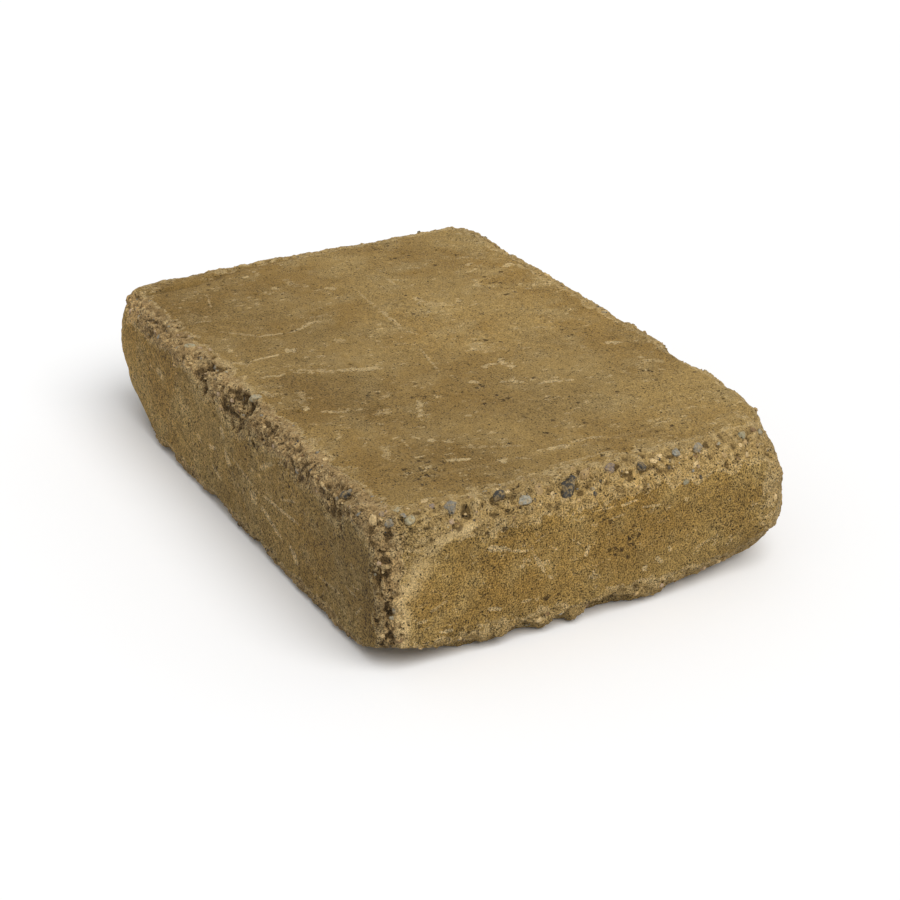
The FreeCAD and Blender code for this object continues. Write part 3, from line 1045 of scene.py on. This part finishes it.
def add_pebble(shape, layer, place, normal, size, turn, tone, draws):
    """One rounded, uneven pebble sunk to about half in the surface."""
    long, wide = size
    high = PEBBLE_HEIGHT * wide
    finer = 2 if long > FINE_PEBBLE else 1
    made = bmesh.ops.create_icosphere(shape, subdivisions=finer, radius=0.5 * MM)["verts"]
    lies_flat = abs(normal.z) > 0.999
    side = (normal.orthogonal() if lies_flat else normal.cross(Vector((0, 0, 1)))).normalized()
    up = Matrix((side, normal.cross(side), normal)).transposed().to_4x4()
    spin = Matrix.Rotation(turn, 4, "Z")
    scale = Matrix.Diagonal((long, wide, high, 1))
    sink = Matrix.Translation(place - normal * high * MM * draws.uniform(0.0, PEBBLE_SINK))
    offset = Vector((draws.uniform(0, 100), 0, 0))
    for vertex in made:
        vertex.co *= 1 + PEBBLE_UNEVEN * noise.noise(vertex.co / MM * 2.1 + offset)
    bmesh.ops.transform(shape, matrix=sink @ up @ spin @ scale, verts=made)
    vary = 1 + draws.uniform(-TONE_SPREAD, TONE_SPREAD)
    colour = (*(min(1, c * vary) for c in linear(*TONES[tone])), 1)
    for vertex in made:
        vertex[layer] = colour


def place_pebbles(shape, layer, mesh, draws):
    """The pebbles that the list places, each on the nearest point of the surface."""
    surface = BVHTree.FromPolygons([v.co for v in mesh.vertices], [p.vertices for p in mesh.polygons])
    for middle, size, turn, tone in PEBBLES:
        place, normal, _, _ = surface.find_nearest(Vector(middle) * MM)
        add_pebble(shape, layer, place, normal, size, math.radians(turn), tone, draws)


def scatter_stones(shape, layer, mesh, sizes, draws):
    """Small stones over the worn parts, most of them near the least size."""
    worn = np.empty(len(mesh.vertices), dtype=np.float32)
    mesh.attributes["worn"].data.foreach_get("value", worn)
    chance = np.clip(worn - 0.45, 0, 1)
    chance = chance / chance.sum()
    for pick in draws.choice(len(worn), size=sizes.count, replace=False, p=chance):
        vertex = mesh.vertices[int(pick)]
        share = draws.random() ** 2.5
        long = (sizes.least + (sizes.most - sizes.least) * share) / MM
        tone = SCATTERED[int(draws.integers(len(SCATTERED)))]
        size = (long, long * draws.uniform(0.6, 0.95))
        turn = draws.uniform(0, math.pi)
        add_pebble(shape, layer, vertex.co, vertex.normal, size, turn, tone, draws)


class COPING_OT_gravel(bpy.types.Operator):
    """Set gravel in the broken bands, where the cement has come away"""

    bl_idname = "coping.gravel"
    bl_label = "Bare gravel"

    def execute(self, context):
        sizes = context.scene.coping_gravel
        stone = bpy.data.objects["worn_stone"]
        draws = np.random.default_rng(sizes.seed)
        shape = bmesh.new()
        layer = shape.verts.layers.float_color.new("tone")
        place_pebbles(shape, layer, stone.data, draws)
        scatter_stones(shape, layer, stone.data, sizes, draws)
        for vertex in shape.verts:
            vertex.co.x = min(max(vertex.co.x, -HALF[0] * MM), HALF[0] * MM)
            vertex.co.y = min(max(vertex.co.y, -HALF[1] * MM), HALF[1] * MM)
            vertex.co.z = min(max(vertex.co.z, 0), TALL * MM)
        mesh = bpy.data.meshes.new("bare_gravel")
        shape.to_mesh(mesh)
        shape.free()
        gravel = new_object(context, "bare_gravel", mesh)
        sand = bpy.data.node_groups.get("sand_grain") or sand_group()
        mesh.materials.append(gravel_material(sand))
        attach(gravel, "root")
        return {"FINISHED"}


def directly_seen(tree):
    """1 for rays from the camera, a reflection or glass, and 0 for the rays that carry the light."""
    rays = tree.add("ShaderNodeLightPath").outputs
    return tree.most(rays["Is Camera Ray"], rays["Is Glossy Ray"], rays["Is Transmission Ray"])


def add_floor(context):
    """The pale floor, which keeps the shadow and is white where it is seen."""
    shape = bmesh.new()
    bmesh.ops.create_grid(shape, x_segments=1, y_segments=1, size=FLOOR_HALF)
    mesh = bpy.data.meshes.new("floor")
    shape.to_mesh(mesh)
    shape.free()
    material, tree, shader = new_material("pale_floor")
    colour = tree.blend(directly_seen(tree), (FLOOR_TONE, FLOOR_TONE, FLOOR_TONE), (1.0, 1.0, 1.0))
    tree.link(colour, shader.inputs["Base Color"])
    shader.inputs["Roughness"].default_value = 1.0
    shader.inputs["Specular IOR Level"].default_value = 0.0
    mesh.materials.append(material)
    new_object(context, "floor", mesh)


def add_sky(context):
    """Even light from all sides, and white behind the stone."""
    world = bpy.data.worlds.new("studio")
    context.scene.world = world
    world.use_nodes = True
    sky = Tree(world.node_tree)
    background = world.node_tree.nodes["Background"]
    background.inputs["Color"].default_value = (1, 1, 1, 1)
    strength = sky.span(directly_seen(sky), 0, 1, SKY_STRENGTH, 1.0, False)
    sky.link(strength, background.inputs["Strength"])


def add_key_light(context):
    """A broad, soft sun."""
    lamp = bpy.data.lights.new("soft_key", "SUN")
    lamp.energy = SUN_STRENGTH
    lamp.angle = math.radians(SUN_SPREAD)
    key = new_object(context, "soft_key", lamp)
    key.rotation_euler = Vector(SUN_FROM).to_track_quat("Z", "Y").to_euler()


def add_camera(context):
    """The camera at the photograph's viewing angle."""
    place = context.scene.coping_camera
    a, e = place.azimuth, place.elevation
    back = Vector((math.sin(a) * math.cos(e), -math.cos(a) * math.cos(e), math.sin(e)))
    level = Vector((math.cos(a), math.sin(a), 0))
    upright = back.cross(level)
    right = level * math.cos(place.roll) + upright * math.sin(place.roll)
    up = upright * math.cos(place.roll) - level * math.sin(place.roll)
    spot = Vector((0, 0, TALL * MM / 2)) + back * place.distance - right * place.side - up * place.rise
    lens = bpy.data.cameras.new("camera")
    lens.lens = place.lens
    lens.sensor_width = SENSOR_WIDTH
    camera = new_object(context, "camera", lens)
    camera.matrix_world = Matrix.Translation(spot) @ Matrix((right, up, back)).transposed().to_4x4()
    context.scene.camera = camera


class COPING_OT_stage(bpy.types.Operator):
    """Set up the pale floor, the soft light and the camera"""

    bl_idname = "coping.stage"
    bl_label = "Stage"

    def execute(self, context):
        add_floor(context)
        add_sky(context)
        add_key_light(context)
        add_camera(context)
        context.scene.view_settings.view_transform = "Standard"
        return {"FINISHED"}


class COPING_PT_panel(bpy.types.Panel):
    """Lists the coping's pieces and settings"""

    bl_idname = "COPING_PT_panel"
    bl_label = "Wall coping"
    bl_space_type = "VIEW_3D"
    bl_region_type = "UI"
    bl_category = "Coping"

    def draw(self, context):
        for operator in OPERATORS:
            self.layout.operator(operator.bl_idname)
        for name, group in SETTINGS:
            box = self.layout.box()
            for setting in group.__annotations__:
                box.prop(getattr(context.scene, name), setting)


OPERATORS = [COPING_OT_stone, COPING_OT_gravel, COPING_OT_stage]
SETTINGS = [
    ("coping_stone", StoneSizes),
    ("coping_gravel", GravelSizes),
    ("coping_colours", ConcreteColours),
    ("coping_camera", CameraPlace),
]


def register():
    for name, group in SETTINGS:
        bpy.utils.register_class(group)
        setattr(bpy.types.Scene, name, PointerProperty(type=group))
    for made in (*OPERATORS, COPING_PT_panel):
        bpy.utils.register_class(made)


def unregister():
    for made in (COPING_PT_panel, *reversed(OPERATORS)):
        bpy.utils.unregister_class(made)
    for name, group in reversed(SETTINGS):
        delattr(bpy.types.Scene, name)
        bpy.utils.unregister_class(group)


def main():
    register()
    bpy.ops.coping.stone()
    bpy.ops.coping.gravel()
    bpy.ops.coping.stage()


if __name__ == "__main__":
    main()
